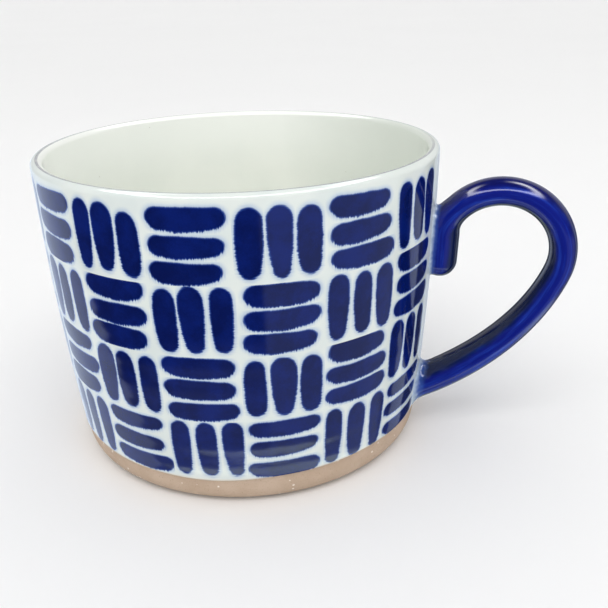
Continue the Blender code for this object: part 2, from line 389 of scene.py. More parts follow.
def makeClayGrain():  # fired stoneware: fine sand, small pale specks and dark iron ones
    inputs = (("Place", "Vector", None), ("Speck Size", "Float", 0.16))
    outputs = (("Colour", "Color"), ("Height", "Float"), ("Roughness", "Float"))
    tree, take, give = newGroup("clayGrain", inputs, outputs)
    cloud = noise(tree, take["Place"], clayLook["cloudScale"], 3.0, 0.6)
    sand = noise(tree, take["Place"], clayLook["sandScale"], 3.0, 0.7)
    colour = blendColours(tree, ramp(tree, cloud, 0.35, 0.7), clayLook["body"], clayLook["pale"])
    sandShare = ramp(tree, sand, 0.5, 0.8, 0.0, clayLook["sandDark"])
    colour = blendColours(tree, sandShare, colour, clayLook["dark"])
    cells = spots(tree, take["Place"], clayLook["speckScale"])
    pick = splitColour(tree, cells["Color"])
    size = calc(tree, "MULTIPLY", take["Speck Size"], pick[0])
    speck = calc(tree, "LESS_THAN", cells["Distance"], size)
    speck = calc(tree, "MULTIPLY", speck, calc(tree, "GREATER_THAN", pick[1], clayLook["speckChance"]))
    speckShare = calc(tree, "MULTIPLY", speck, clayLook["speckStrength"])
    colour = blendColours(tree, speckShare, colour, clayLook["speck"])
    iron = spots(tree, take["Place"], clayLook["ironScale"])
    iron = calc(tree, "LESS_THAN", iron["Distance"], clayLook["ironSize"])
    iron = calc(tree, "MULTIPLY", iron, clayLook["ironStrength"])
    feed(tree, give["Colour"], blendColours(tree, iron, colour, clayLook["iron"]))
    rise = calc(tree, "ADD", sand, calc(tree, "MULTIPLY", speck, clayLook["speckRise"]))
    feed(tree, give["Height"], calc(tree, "MULTIPLY", rise, clayLook["grainHeight"]))
    rough = calc(tree, "MULTIPLY_ADD", sand, clayLook["roughnessSpread"], clayLook["roughness"])
    feed(tree, give["Roughness"], rough)
    return tree


seamReflectionLook = {  # in mm
    # the grey of a painted reflection along the lip's crest
    "colour": srgb(158, 161, 168),
    "inside": 0.12,  # how far inside the crest its middle lies
    "halfWidth": 0.42,
    "core": 0.24,
    "patchinessScale": 0.5,
    "fade": (25.0, -15.0),  # the painted reflection grows from the far side of the cup to the near one
    "strength": (0.1, 0.9),
}


def makeCrestSeamReflection():  # the two glazes meet along the crest of the lip; the grey line there is painted reflection of the darker inside, strongest on the near side
    tree, take, give = newGroup("crestSeamReflection", (("Place", "Vector", None),), (("Mask", "Float"),))
    spot = splitPlace(tree, take["Place"])
    crest = (cup["rimRadius"] - cup["lipRadius"]) / mm - seamReflectionLook["inside"]
    off = calc(tree, "ABSOLUTE", calc(tree, "SUBTRACT", flatDistance(tree, spot), crest))
    patchiness = ramp(tree, noise(tree, take["Place"], seamReflectionLook["patchinessScale"], 2.0), 0.25, 0.6, 0.7, 1.0)
    mask = calc(tree, "MULTIPLY", ramp(tree, off, seamReflectionLook["halfWidth"], seamReflectionLook["core"]), patchiness)
    mask = calc(tree, "MULTIPLY", mask, calc(tree, "GREATER_THAN", spot[2], cup["lipHeight"] / mm))
    near = ramp(tree, spot[1], *seamReflectionLook["fade"], *seamReflectionLook["strength"])
    feed(tree, give["Mask"], calc(tree, "MULTIPLY", mask, near))
    return tree


glazeSkin = makeGlazeSkin()
crestSeamReflection = makeCrestSeamReflection()
cobaltDepth = makeCobaltDepth()
clayGrain = makeClayGrain()


strokes = {  # in mm, apart from the angles and the shares
    "columns": 16,  # round the cup, counted from the handle
    "blank": math.radians(8.3),  # left white on either side of the handle's middle
    "drift": math.radians(2.4),  # the painter starts wide and catches up on the far side
    "lowestRow": 15.7,  # height of the lowest row's middle
    "rowPitch": 16.55,
    "rows": 4,
    "across": {"upright": 6.15, "level": 5.65},  # from one stroke's middle to the next
    "halfLength": {"upright": 8.0, "level": 8.5},
    "halfWidth": {"upright": 2.64, "level": 2.58},
    "room": {"upright": 8.2, "level": 9.0},  # the longest half stroke its cell holds
    "lowestSize": 0.86,  # the strokes of the lowest row are thinner
    "capStretch": 0.84,  # under 1 draws the round ends out into an oval
    "lengthSpread": 0.14,
    "widthSpread": 0.17,
    "alongSpread": 0.8,
    "acrossSpread": 0.32,
    "tilt": 0.05,
    "bow": {"upright": 0.0, "level": 0.008},
    "bowSpread": 0.008,
    "taper": 0.17,
    "taperBias": {"upright": 0.08, "level": -0.02},
    "waist": 0.09,
    "wobble": 0.40,
    "wobbleScale": 0.30,
    "teeth": 1.05,  # the ragged edge where the brush hairs parted
    "teethScale": 3.1,
    "teethStretch": 0.5,
    "edge": 0.15,  # how softly the paint stops
    "thinEdge": 0.42,  # the paint is thinner this far in
    "bleed": 1.1,  # how far the blue spreads into the white
    "bleedFade": 1.8,
}
otherSeed = (31.7, 12.3, 7.9)  # moves the second set of chances away from the first


def makeBrushStrokes():  # a basket of short brush strokes, three to a cell, upright and level by turns
    outputs = (("Paint", "Float"), ("Bleed", "Float"), ("Thickness", "Float"), ("Shade", "Float"))
    tree, take, give = newGroup("brushStrokes", (("Place", "Vector", None),), outputs)
    spot = splitPlace(tree, take["Place"])
    radius = flatDistance(tree, spot)

    # the cell that the point is in, and the point's place in it
    pitch = (math.tau - 2 * strokes["blank"]) / strokes["columns"]
    turn = calc(tree, "MULTIPLY", calc(tree, "ARCTAN2", spot[1], spot[0]), -1.0)
    turn = calc(tree, "FLOORED_MODULO", turn, math.tau)
    turn = calc(tree, "MULTIPLY_ADD", calc(tree, "SINE", turn), -strokes["drift"], turn)
    turn = calc(tree, "DIVIDE", calc(tree, "SUBTRACT", turn, strokes["blank"]), pitch)
    column = hold(tree, calc(tree, "FLOOR", turn), 0.0, strokes["columns"] - 1.0)
    middle = calc(tree, "ADD", column, 0.5)
    columnWidth = calc(tree, "MULTIPLY", radius, pitch)
    sideways = calc(tree, "MULTIPLY", calc(tree, "SUBTRACT", middle, turn), columnWidth)
    level = calc(tree, "SUBTRACT", spot[2], strokes["lowestRow"])
    level = calc(tree, "DIVIDE", level, strokes["rowPitch"])
    row = hold(tree, calc(tree, "ROUND", level), 0.0, strokes["rows"] - 1.0)
    upward = calc(tree, "MULTIPLY", calc(tree, "SUBTRACT", level, row), strokes["rowPitch"])
    odd = calc(tree, "ADD", calc(tree, "ADD", column, row), 1.0)
    upright = calc(tree, "SUBTRACT", 1.0, calc(tree, "FLOORED_MODULO", odd, 2.0))

    def byKind(key):
        return blendValues(tree, upright, strokes[key]["level"], strokes[key]["upright"])

    # the stroke of that cell which is nearest, and its own chances
    along = blendValues(tree, upright, sideways, upward)
    across = blendValues(tree, upright, upward, sideways)
    spacing = byKind("across")
    index = hold(tree, calc(tree, "ROUND", calc(tree, "DIVIDE", across, spacing)), -1.0, 1.0)
    seed = addNode(tree, "ShaderNodeCombineXYZ", {0: column, 1: row, 2: index}).outputs[0]
    first = whiteNoise(tree, seed)
    second = whiteNoise(tree, vectorMath(tree, "ADD", seed, otherSeed))
    chance = [*splitColour(tree, first["Color"]), *splitColour(tree, second["Color"])]
    chance = [calc(tree, "SUBTRACT", value, 0.5) for value in chance]

    def vary(base, which, spread):
        return calc(tree, "MULTIPLY", base, calc(tree, "MULTIPLY_ADD", chance[which], spread, 1.0))

    halfLength = vary(byKind("halfLength"), 0, strokes["lengthSpread"])
    halfWidth = vary(byKind("halfWidth"), 1, strokes["widthSpread"])
    lowest = calc(tree, "LESS_THAN", row, 0.5)
    lowestSize = blendValues(tree, lowest, 1.0, strokes["lowestSize"])
    halfWidth = calc(tree, "MULTIPLY", halfWidth, lowestSize)
    slide = calc(tree, "MULTIPLY", chance[2], strokes["alongSpread"])
    room = calc(tree, "SUBTRACT", byKind("room"), calc(tree, "ABSOLUTE", slide))
    halfLength = calc(tree, "MINIMUM", halfLength, room)

    # the point's place on the stroke, with the stroke moved, tilted and bowed a little
    along = calc(tree, "ADD", slide, along)
    across = calc(tree, "SUBTRACT", across, calc(tree, "MULTIPLY", index, spacing))
    across = calc(tree, "MULTIPLY_ADD", chance[3], strokes["acrossSpread"], across)
    tilt = calc(tree, "MULTIPLY", chance[4], strokes["tilt"])
    across = calc(tree, "MULTIPLY_ADD", tilt, along, across)
    bow = calc(tree, "MULTIPLY_ADD", chance[5], strokes["bowSpread"], byKind("bow"))
    bow = calc(tree, "MULTIPLY", bow, calc(tree, "POWER", along, 2.0))
    across = calc(tree, "SUBTRACT", across, bow)

    # how far the point is outside the stroke's outline
    cap = calc(tree, "DIVIDE", halfWidth, strokes["capStretch"])
    straight = calc(tree, "SUBTRACT", halfLength, cap)
    spine = hold(tree, along, calc(tree, "MULTIPLY", straight, -1.0), straight)
    reach = calc(tree, "DIVIDE", spine, straight)
    taper = calc(tree, "MULTIPLY_ADD", chance[0], strokes["taper"], byKind("taperBias"))
    waist = calc(tree, "MULTIPLY", calc(tree, "POWER", reach, 2.0), strokes["waist"])
    swell = calc(tree, "SUBTRACT", calc(tree, "MULTIPLY", taper, reach), waist)
    width = calc(tree, "MULTIPLY", halfWidth, calc(tree, "ADD", swell, 1.0))
    beyond = calc(tree, "MULTIPLY", calc(tree, "SUBTRACT", along, spine), strokes["capStretch"])
    outside = calc(tree, "SUBTRACT", flatDistance(tree, (beyond, across)), width)

    # its wobbling and ragged edge, the lower side most
    wander = noise(tree, take["Place"], strokes["wobbleScale"], 1.0)
    outside = stray(tree, wander, strokes["wobble"], outside)
    comb = {
        0: calc(tree, "MULTIPLY", along, strokes["teethScale"]),
        1: calc(tree, "MULTIPLY", across, strokes["teethStretch"]),
        2: radius,
    }
    comb = addNode(tree, "ShaderNodeCombineXYZ", comb).outputs[0]
    comb = vectorMath(tree, "ADD", comb, seed)
    teeth = calc(tree, "SUBTRACT", noise(tree, comb, 1.0, 1.5, 0.6), 0.5)
    lowSide = ramp(tree, across, 0.9, -1.8, 0.22, 1.0)
    lowEnd = ramp(tree, along, 5.5, -6.0, 0.3, 0.75)
    teeth = calc(tree, "MULTIPLY", teeth, blendValues(tree, upright, lowSide, lowEnd))
    outside = calc(tree, "MULTIPLY_ADD", teeth, strokes["teeth"], outside)

    bleed = ramp(tree, outside, strokes["bleed"], 0.0, smooth=False)
    feed(tree, give["Paint"], ramp(tree, outside, strokes["edge"], -strokes["edge"]))
    feed(tree, give["Bleed"], calc(tree, "POWER", bleed, strokes["bleedFade"]))
    feed(tree, give["Thickness"], ramp(tree, outside, -0.02, -strokes["thinEdge"]))
    feed(tree, give["Shade"], first["Value"])
    return tree


glazeColours = {
    "white": srgb(224, 230, 226),
    "cool": srgb(216, 224, 222),
    "bleed": srgb(164, 184, 212),
    "bleedShare": 0.85,
    "thin": srgb(208, 190, 172),  # over the clay along the dipped edge
    "thinShare": 0.7,
    "thinReach": 0.9 * mm,
    "cloudScale": 0.09,
}


def makeWallGlaze():
    material, tree, shader = newMaterial("paintedGlaze", IOR=1.5)
    place = objectPlace(tree)
    stroke = useGroup(tree, makeBrushStrokes(), {"Place": place})
    depth = {"Place": place, "Thickness": stroke["Thickness"], "Shade": stroke["Shade"]}
    cobalt = useGroup(tree, cobaltDepth, depth)
    skin = useGroup(tree, glazeSkin, {"Place": place})
    cloud = ramp(tree, noise(tree, place, glazeColours["cloudScale"], 2.0), 0.35, 0.68)
    ground = blendColours(tree, cloud, glazeColours["white"], glazeColours["cool"])
    bleed = calc(tree, "MULTIPLY", stroke["Bleed"], glazeColours["bleedShare"])
    ground = blendColours(tree, bleed, ground, glazeColours["bleed"])
    # painted reflection: a grey line along the crest of the lip
    seam = useGroup(tree, crestSeamReflection, {"Place": place})
    ground = blendColours(tree, seam["Mask"], ground, seamReflectionLook["colour"])
    thin = attribute(tree, "aboveEdge", "Fac")
    thin = ramp(tree, thin, glazeColours["thinReach"], 0.05 * mm, 0.0, glazeColours["thinShare"])
    ground = blendColours(tree, thin, ground, glazeColours["thin"])
    feed(tree, shader["Base Color"], blendColours(tree, stroke["Paint"], ground, cobalt["Colour"]))
    feed(tree, shader["Roughness"], skin["Roughness"])
    feed(tree, shader["Normal"], addBump(tree, skin["Height"]))
    return material


linerLook = {
    "white": srgb(243, 245, 238),
    "cool": srgb(238, 241, 234),
    "cloudScale": 0.06,
    "pale": srgb(252, 254, 250),  # painted light: paler towards the lip, where more light falls inside the cup
    "paintedLipLightRange": (56.0, 73.0, 0.7),  # from this height to this one, in mm, and how much
    "grey": srgb(212, 218, 210),  # towards the handle, standing in for weaker light on that side
    "greyToward": math.radians(13),
    "greyRange": (10.0, 47.0, 0.9),  # from this far over to this far, in mm, and how much
    "greySpread": 8.0,
    "pin": srgb(168, 156, 138),
    "pinScale": 0.16,
    "pinSize": 0.028,
    "pinShare": 0.35,
    "ripple": 1.2,
}


def makeLinerGlaze():
    material, tree, shader = newMaterial("linerGlaze", IOR=1.5)
    place = objectPlace(tree)
    skin = useGroup(tree, glazeSkin, {"Place": place, "Ripple": linerLook["ripple"]})
    cloud = noise(tree, place, linerLook["cloudScale"], 3.0)
    colour = blendColours(tree, ramp(tree, cloud, 0.3, 0.7), linerLook["white"], linerLook["cool"])
    spot = splitPlace(tree, place)
    # painted light: the inside is paler towards the lip
    low, high, most = linerLook["paintedLipLightRange"]
    colour = blendColours(tree, ramp(tree, spot[2], low, high, 0.0, most), colour, linerLook["pale"])
    aside = calc(tree, "MULTIPLY", spot[1], math.sin(linerLook["greyToward"]))
    aside = calc(tree, "MULTIPLY_ADD", spot[0], math.cos(linerLook["greyToward"]), aside)
    aside = stray(tree, cloud, linerLook["greySpread"], aside)
    near, far, most = linerLook["greyRange"]
    grey = ramp(tree, aside, near, far, 0.0, most, smooth=False)
    colour = blendColours(tree, grey, colour, linerLook["grey"])
    pin = spots(tree, place, linerLook["pinScale"])["Distance"]
    pin = calc(tree, "LESS_THAN", pin, linerLook["pinSize"])
    pin = calc(tree, "MULTIPLY", pin, linerLook["pinShare"])
    colour = blendColours(tree, pin, colour, linerLook["pin"])
    # painted reflection: a grey line along the crest of the lip
    seam = useGroup(tree, crestSeamReflection, {"Place": place})
    feed(tree, shader["Base Color"], blendColours(tree, seam["Mask"], colour, seamReflectionLook["colour"]))
    feed(tree, shader["Roughness"], skin["Roughness"])
    feed(tree, shader["Normal"], addBump(tree, skin["Height"]))
    return material


def makeClay(name, speckSize, tint):
    material, tree, shader = newMaterial(name)
    shader["Specular IOR Level"].default_value = 0.25
    grain = useGroup(tree, clayGrain, {"Place": objectPlace(tree), "Speck Size": speckSize})
    feed(tree, shader["Base Color"], blendColours(tree, 1.0, grain["Colour"], tint, "MULTIPLY"))
    feed(tree, shader["Roughness"], grain["Roughness"])
    feed(tree, shader["Normal"], addBump(tree, grain["Height"]))
    return material


strap = {
    "thickness": 6.6 * mm,
    "width": 10.0 * mm,
    "squareness": 2.12,  # 2 is an oval, more is squarer
    "loopRadius": 14.85 * mm,
    "loopDrop": 10.3 * mm,  # from the rim down to the top of the loop
    "loopStart": math.radians(134.5),
    "loopEnd": math.radians(-20),
    "tailDepth": 8.4 * mm,
    "tailProud": 6.3 * mm,
    "tailHang": 25.5 * mm,
    "bendInner": 6.0 * mm,
    "rootLift": 0.3 * mm,  # above the glaze line
    "rootDepth": 8.0 * mm,
    "rootWidth": 10.6 * mm,
    "rootSlope": math.radians(27),
    "rootSink": 3.4 * mm,
    "rootEase": 17.0 * mm,
    "armEase": 15.0 * mm,
    "sides": 56,
    "spacing": 0.45 * mm,  # between rings of the mesh
    "tailFillet": 1.5 * mm,
    "rootFillet": 2.6 * mm,
    "underFillet": 0.6,  # how much smaller it is underneath
}


def ease(share):
    return share * share * (3 - 2 * share)


def strapPath():  # rows of (x, z, thickness, width) from the tail's tip to the lower root
    thickness, width, radius = strap["thickness"], strap["width"], strap["loopRadius"]
    loopHeight = cup["height"] - strap["loopDrop"] - radius
    tailTip = cup["height"] - strap["loopDrop"] + thickness / 2 - strap["tailHang"]
    rootHeight = strap["rootDepth"] / 2 / math.cos(strap["rootSlope"])
    rootHeight = cup["glazeLine"] + strap["rootLift"] + rootHeight
    reach = radius - thickness / 2 - strap["bendInner"]
    bendHeight = loopHeight + reach * math.sin(strap["loopStart"])
    bendX = float(wallRadius(bendHeight)) + strap["tailProud"] + strap["bendInner"]
    loopX = bendX - reach * math.cos(strap["loopStart"])
    rows = []
    for height in np.linspace(tailTip + strap["tailDepth"] / 2, bendHeight, 16)[:-1]:
        x = float(wallRadius(height)) + strap["tailProud"] - strap["tailDepth"] / 2
        rows.append((x, height, strap["tailDepth"], width))
    for share in np.linspace(0, 1, 24)[:-1]:
        depth = strap["tailDepth"] + (thickness - strap["tailDepth"]) * ease(share)
        turn = math.pi + (strap["loopStart"] - math.pi) * share
        out = strap["bendInner"] + depth / 2
        rows.append((bendX + out * math.cos(turn), bendHeight + out * math.sin(turn), depth, width))
    for turn in np.linspace(strap["loopStart"], strap["loopEnd"], 90)[:-1]:
        place = loopX + radius * math.cos(turn), loopHeight + radius * math.sin(turn)
        rows.append((*place, thickness, width))
    end = strap["loopEnd"]
    start = np.array((loopX + radius * math.cos(end), loopHeight + radius * math.sin(end)))
    root = np.array((float(wallRadius(rootHeight)), rootHeight))
    inward = np.array((-math.cos(strap["rootSlope"]), -math.sin(strap["rootSlope"])))
    startPull = start + np.array((math.sin(end), -math.cos(end))) * strap["armEase"]
    endPull = root - inward * strap["rootEase"]
    for share in np.linspace(0, 1, 80):
        rest = 1 - share
        point = rest**3 * start + 3 * rest**2 * share * startPull
        point = point + 3 * rest * share**2 * endPull + share**3 * root
        depth = thickness + (strap["rootDepth"] - thickness) * ease(share)
        rows.append((*point, depth, width + (strap["rootWidth"] - width) * ease(share)))
    for sink in np.linspace(0, strap["rootSink"], 8)[1:]:
        rows.append((*(root + inward * sink), strap["rootDepth"], strap["rootWidth"]))
    return np.array(rows)


def evenPath(rows, spacing):  # the same path with its rows at even distances
    length = np.concatenate(([0], np.cumsum(np.hypot(*np.diff(rows[:, :2], axis=0).T))))
    wanted = np.linspace(0, length[-1], max(2, round(length[-1] / spacing)))
    even = [np.interp(wanted, length, rows[:, i]) for i in range(rows.shape[1])]
    return np.stack(even, axis=1), wanted


def strapRings(inset):  # points round the strap, their places on it, and each ring's distance along it
    rows, distances = evenPath(strapPath(), strap["spacing"])
    direction = np.gradient(rows[:, :2], axis=0)
    direction /= np.linalg.norm(direction, axis=1, keepdims=True)
    tip = strap["tailDepth"] / 2 - inset
    turns = np.linspace(math.radians(86), 0, 16)[:-1]  # the tail's round tip
    tipX = [rows[0, 0] - direction[0, 0] * tip * math.sin(t) for t in turns]
    tipHeight = [rows[0, 1] - direction[0, 1] * tip * math.sin(t) for t in turns]
    shrink = np.concatenate((np.cos(turns), np.ones(len(rows))))
    middles = np.concatenate((np.stack((tipX, tipHeight), axis=1), rows[:, :2]))
    directions = np.concatenate((np.repeat(direction[:1], len(turns), axis=0), direction))
    halfThick = np.concatenate((np.repeat(rows[0, 2], len(turns)), rows[:, 2])) / 2 - inset
    halfWide = np.concatenate((np.repeat(rows[0, 3], len(turns)), rows[:, 3])) / 2 - inset
    lengths = np.concatenate((-tip * np.sin(turns), distances))
    around = np.arange(strap["sides"]) * math.tau / strap["sides"]
    power = 2 / strap["squareness"]
    c, s = np.cos(around), np.sin(around)
    x = np.sign(c) * np.abs(c) ** power * (halfThick * shrink)[:, None]
    y = np.sign(s) * np.abs(s) ** power * (halfWide * shrink)[:, None]
    points = np.empty((*x.shape, 3))
    points[..., 0] = middles[:, 0, None] - directions[:, 1, None] * x
    points[..., 1] = y
    points[..., 2] = middles[:, 1, None] + directions[:, 0, None] * x
    place = np.stack((np.broadcast_to(lengths[:, None], x.shape), y, x), axis=-1)
    return points, place, lengths


def ringNormals(points):
    along = np.gradient(points, axis=0)
    around = np.roll(points, -1, axis=1) - np.roll(points, 1, axis=1)
    normals = np.cross(around, along)
    normals /= np.maximum(np.linalg.norm(normals, axis=-1, keepdims=True), 1e-12)
    middle = points.mean(axis=1, keepdims=True)
    flip = np.sign(((points - middle) * normals).sum(axis=(1, 2)))
    return normals * np.where(flip == 0, 1, flip)[:, None, None]


def filletRings(points, lengths):  # spreads the strap out where it meets the wall
    radius = np.hypot(points[..., 0], points[..., 1])
    height = radius - wallRadius(points[..., 2])
    half = lengths[-1] / 2
    fillet = np.where(lengths > half, strap["rootFillet"], strap["tailFillet"])[:, None]
    near = np.clip(1 - height / fillet, 0, 1)
    spread = fillet * (1 - np.sqrt(1 - near**2))
    wallNormal = points * np.array((1, 1, 0)) / radius[..., None]
    normals = ringNormals(points)
    sideways = normals - (normals * wallNormal).sum(axis=-1, keepdims=True) * wallNormal
    size = np.linalg.norm(sideways, axis=-1, keepdims=True)
    sideways = sideways / np.maximum(size, 1e-9) * np.clip(size * 1.6, 0, 1)
    spread = spread * (1 - strap["underFillet"] * np.clip(-sideways[..., 2], 0, 1))
    return points + sideways * spread[..., None], height / fillet


def pointValues(thing, name, kind, values):  # a value at each point of a mesh, for its material to read
    layer = thing.data.attributes.new(name, kind, "POINT")
    field = "vector" if kind == "FLOAT_VECTOR" else "value"
    layer.data.foreach_set(field, np.asarray(values).astype(np.float32).ravel())


def makeHandleGlaze(material):
    outer, place, lengths = strapRings(0.0)
    outer, height = filletRings(outer, lengths)
    inner, _, _ = strapRings(coat["thickness"])
    rings, sides = outer.shape[:2]
    points = np.concatenate((outer.reshape(-1, 3), inner.reshape(-1, 3)))
    faces = []
    for shell in (0, 1):
        start = shell * rings * sides
        for ring in range(rings - 1):
            a = start + ring * sides
            b = a + sides
            for i in range(sides):
                j = (i + 1) % sides
                quad = [a + i, a + j, b + j, b + i]
                faces.append(quad if shell == 0 else quad[::-1])
        cap = [start + i for i in range(sides)]
        faces.append(cap[::-1] if shell == 0 else cap)
    last = (rings - 1) * sides
    a, b = last, rings * sides + last
    for i in range(sides):
        j = (i + 1) % sides
        faces.append([a + i, a + j, b + j, b + i])
    thing = makeObject("handleGlaze", points, faces, material)
    place = place.reshape(-1, 3)
    pointValues(thing, "strapPlace", "FLOAT_VECTOR", np.concatenate((place, place)))
    pointValues(thing, "offWall", "FLOAT", np.concatenate((height.ravel(), height.ravel())))
    return thing


handleColours = {
    "bright": srgb(34, 70, 188),
    "mid": srgb(10, 24, 132),
    "back": srgb(5, 10, 82),  # the broad faces, where the glaze lies thick
    "finger": srgb(14, 26, 56),  # the face round the finger hole
    "root": srgb(58, 90, 164),
    "edge": srgb(190, 206, 222),
    "streaks": (55, 900, 900),  # per metre along and across the strap
    "cloudScale": 0.22,
    "cobaltShare": 0.25,
    "backWander": 1.6 * mm,
    "fingerWander": 1.2 * mm,
    "raggedScale": 0.7,
    "ragged": 0.45,
    "ripple": 0.7,
    "dulling": 0.08,  # rougher than the wall's glaze
}


def makeHandleCobalt():
    look = handleColours
    material, tree, shader = newMaterial("handleCobalt", IOR=1.43)
    place = objectPlace(tree)
    spot = attribute(tree, "strapPlace", "Vector")
    reach = attribute(tree, "offWall", "Fac")
    streak = noise(tree, vectorMath(tree, "MULTIPLY", spot, look["streaks"]), 1.0, 3.0, 0.6)
    cloud = noise(tree, place, look["cloudScale"], 3.0, 0.6)
    cobalt = useGroup(tree, cobaltDepth, {"Place": place, "Thickness": 1.0, "Shade": 0.8})
    body = blendColours(tree, ramp(tree, streak, 0.42, 0.78), look["mid"], look["bright"])
    body = blendColours(tree, look["cobaltShare"], body, cobalt["Colour"])
    side = splitPlace(tree, spot)
    back = stray(tree, cloud, look["backWander"], calc(tree, "ABSOLUTE", side[1]))
    body = blendColours(tree, ramp(tree, back, 4.6 * mm, 3.2 * mm, 0.0, 0.9), body, look["back"])
    finger = stray(tree, cloud, look["fingerWander"], side[2])
    finger = ramp(tree, finger, -1.2 * mm, -2.6 * mm, 0.0, 0.85)
    body = blendColours(tree, finger, body, look["finger"])
    ragged = stray(tree, noise(tree, place, look["raggedScale"], 2.0), look["ragged"], reach)
    body = blendColours(tree, ramp(tree, ragged, 1.15, 0.25, 0.0, 0.9), body, look["root"])
    body = blendColours(tree, ramp(tree, ragged, 0.55, -0.15), body, look["edge"])
    skin = useGroup(tree, glazeSkin, {"Place": place, "Ripple": look["ripple"]})
    feed(tree, shader["Base Color"], body)
    feed(tree, shader["Roughness"], calc(tree, "ADD", skin["Roughness"], look["dulling"]))
    feed(tree, shader["Normal"], addBump(tree, skin["Height"]))
    return material


coat = {
    "thickness": 0.35 * mm,
    "clearance": 0.06 * mm,  # between the glaze and the clay
    "edgeWave": 0.55 * mm,
    "edgeRise": 0.9 * mm,
    "edgeReach": 14.0 * mm,  # the rings of the mesh follow the wandering edge up to this height
    "edgeRoll": ((0, 0.30), (0.03, 0.18), (0.12, 0.08), (0.30, 0.01)),  # height and inset, in mm
}


def glazeEdge(angle):  # how far the dipped edge of the glaze wanders up or down
    rise = coat["edgeRise"] * np.clip(np.cos(angle + 0.25), 0, 1) ** 2
    waves = 0.4 * np.sin(2 * angle + 1) + 0.3 * np.sin(5 * angle) + 0.15 * np.sin(11 * angle + 2)
    return rise + coat["edgeWave"] * waves


def liftEdge(angles, radii, heights):
    inset = wallRadius(heights) - radii
    reach = coat["edgeReach"]
    share = np.clip((reach - heights) / (reach - cup["glazeLine"]), 0, 1)
    raised = heights + glazeEdge(angles) * share
    return wallRadius(raised) - inset, raised


def layOutWall(thing, outline, shownRings):  # the painted side in four quarters, with the hidden side below
    turns, rings = cup["turns"], len(outline)
    steps = np.hypot(*np.diff(np.array([*outline, outline[0]]), axis=0).T)
    shownLengths = np.concatenate(([0], np.cumsum(steps[: shownRings - 1])))
    hiddenLengths = np.concatenate(([0], np.cumsum(steps[shownRings - 1 :])))
    gap, strip, quarter = 0.004, 0.03, turns // 4
    tall = (1 - strip - 3 * gap) / 2
    corners = np.zeros((rings, turns, 4, 2))
    column = np.arange(turns)
    for ring in range(rings):
        shown = ring < shownRings - 1
        lengths = shownLengths if shown else hiddenLengths
        first = ring if shown else ring - shownRings + 1
        low, high = lengths[first] / lengths[-1], lengths[first + 1] / lengths[-1]
        if shown:
            left = (column // quarter % 2) * 0.5 + gap + (column % quarter) / quarter * (0.5 - 2 * gap)
            wide = (0.5 - 2 * gap) / quarter
            base = strip + gap + (column // (2 * quarter)) * (tall + gap)
            lowEdge, highEdge = base + low * tall, base + high * tall
        else:
            left, wide = gap + column / turns * (1 - 2 * gap), (1 - 2 * gap) / turns
            lowEdge, highEdge = gap + low * (strip - gap), gap + high * (strip - gap)
        corners[ring, :, (0, 3), 0] = left
        corners[ring, :, (1, 2), 0] = left + wide
        corners[ring, :, (0, 1), 1] = lowEdge
        corners[ring, :, (2, 3), 1] = highEdge
    layer = thing.data.uv_layers.new(name="OFBake")
    layer.data.foreach_set("uv", corners.astype(np.float32).ravel())


def makeOuterGlaze(material):
    line, inset, crest = cup["glazeLine"], coat["thickness"], math.pi / 2
    rollHeights = [line + rise * mm for rise, _ in coat["edgeRoll"]]
    rollInsets = [depth * mm for _, depth in coat["edgeRoll"]]
    shown = [(float(wallRadius(h)) - depth, h) for h, depth in zip(rollHeights, rollInsets)]
    shown += wallOutline(0, line + 0.6 * mm, 90)[:-1] + lipOutline(0, 0, crest, 14)
    hidden = wallOutline(inset, line, 50)[:-1] + lipOutline(inset, 0, crest, 10)
    outline = shown + hidden[::-1]
    thing = turnedObject("outerGlaze", outline, material, liftEdge)
    layOutWall(thing, outline, len(shown))
    pointValues(thing, "aboveEdge", "FLOAT", np.repeat([h - line for _, h in outline], cup["turns"]))
    return thing


def makeLiner(material):
    inset, crest = coat["thickness"], math.pi / 2
    shown = lipOutline(0, crest, math.pi, 14) + boreOutline(0, 60, 24, 24)[1:]
    hidden = lipOutline(inset, crest, math.pi, 10) + boreOutline(inset, 40, 16, 12)[1:]
    return turnedObject("linerGlaze", shown + hidden[::-1], material)


def makeClayCup(material):
    inset = coat["thickness"] + coat["clearance"]
    footRadii = np.linspace(4 * mm, cup["baseRadius"] - 1.2 * mm, 14)
    outline = [(0.0, 0.0), *[(float(r), 0.0) for r in footRadii]] + heelOutline(inset, 40)
    outline += wallOutline(inset, cup["heelHeight"], 50)[:-1] + lipOutline(inset, 0, math.pi, 16)
    outline += boreOutline(inset, 40, 16, 12)[1:]
    return turnedObject("clayCup", outline, material)


print("materials")
wallGlaze = makeWallGlaze()
linerMaterial = makeLinerGlaze()
bareClay = makeClay("bareStoneware", 0.21, (1, 1, 1, 1))
slipClay = makeClay("lutingSlip", 0.08, (1.0, 0.93, 0.86, 1))
handleMaterial = makeHandleCobalt()

print("cup")
outerGlaze = makeOuterGlaze(wallGlaze)
linerGlaze = makeLiner(linerMaterial)
clayCup = makeClayCup(bareClay)
print("handle")
handleGlaze = makeHandleGlaze(handleMaterial)

for piece, node, slotName in (
    (outerGlaze, "outer_glaze", "outer_glaze"),
    (linerGlaze, "liner_glaze", "liner_glaze"),
    (clayCup, "cup_body", "bare_stoneware"),
    (handleGlaze, "handle_glaze", "cobalt_glaze"),
):
    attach(piece, "root")
    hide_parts(node)

clays = (("handle", bareClay), ("upper_slip_joint", slipClay), ("lower_slip_joint", slipClay))
for node, material in clays:
    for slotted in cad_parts[node].material_slots:
        slotted.material = material

studio = {
    "floorRadius": 8.0,
    "floorColour": (0.90, 0.90, 0.90, 1),
    "floorShade": (0.88, 0.88, 0.88, 1),
    "floorRoughness": 0.9,
    "sky": 0.92,  # all that the camera and matt surfaces see
    "turn": math.radians(13),  # the camera's own turn about the cup
}
